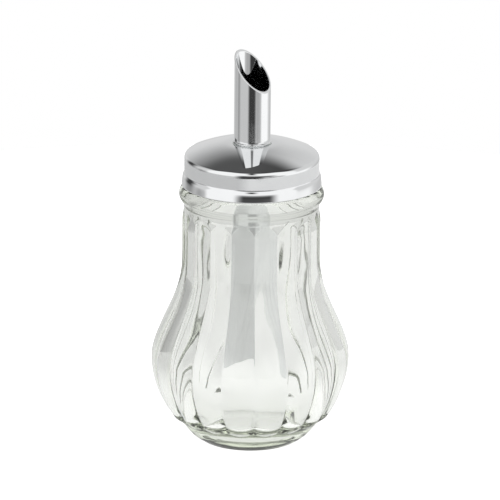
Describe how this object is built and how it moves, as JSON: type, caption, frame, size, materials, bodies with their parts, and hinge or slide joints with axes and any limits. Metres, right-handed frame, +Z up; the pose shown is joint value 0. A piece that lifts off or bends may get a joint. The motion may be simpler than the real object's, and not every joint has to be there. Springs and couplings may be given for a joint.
{
  "type": "sugar dispenser",
  "caption": "Table sugar dispenser: a lobed pear-shaped glass jar under a domed metal cap, with a slant-cut pouring tube standing up through it.",
  "frame": {"origin": "centre of the flat base, on the surface that the jar stands on", "axes": "+Z up along the jar's axis, +X the way the tube's slanted mouth faces"},
  "size_m": [0.074, 0.0736, 0.15],
  "materials": {
    "clear_glass": "clear pressed glass with a faint green tint",
    "cap_chrome": "polished bright metal",
    "tube_chrome": "polished bright metal"
  },
  "bodies": {
    "root": {"glass_jar": "clear_glass", "screw_cap": "cap_chrome", "pour_tube": "tube_chrome"}
  },
  "joints": []
}
